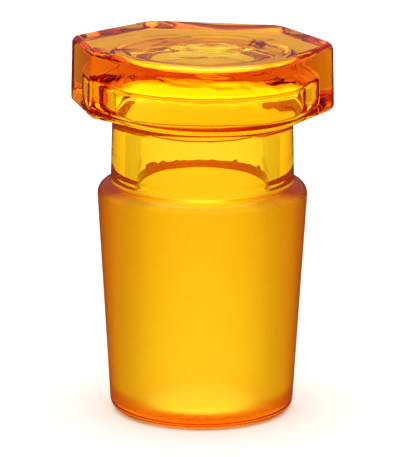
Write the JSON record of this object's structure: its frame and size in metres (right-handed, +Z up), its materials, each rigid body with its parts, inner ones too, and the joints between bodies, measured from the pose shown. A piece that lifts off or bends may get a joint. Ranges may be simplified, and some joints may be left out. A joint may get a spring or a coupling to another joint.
{
  "type": "glass stopper",
  "caption": "Hollow amber glass stopper: a frosted ground cone that seals a bottle neck, a clear neck, and a thick six-sided head to grip and turn.",
  "frame": {"origin": "centre of the round base, on the surface that the stopper stands on", "axes": "+Z up along the axis of the ground cone, from the base to the head; +Y towards the back of the head, away from its nearly round corner; +X to the right"},
  "size_m": [0.0433, 0.0443, 0.0615],
  "materials": {
    "amber_glass": "clear fire-polished amber glass, ground to a fine matt on the cone"
  },
  "bodies": {
    "root": {"stopper": "amber_glass"}
  },
  "joints": []
}
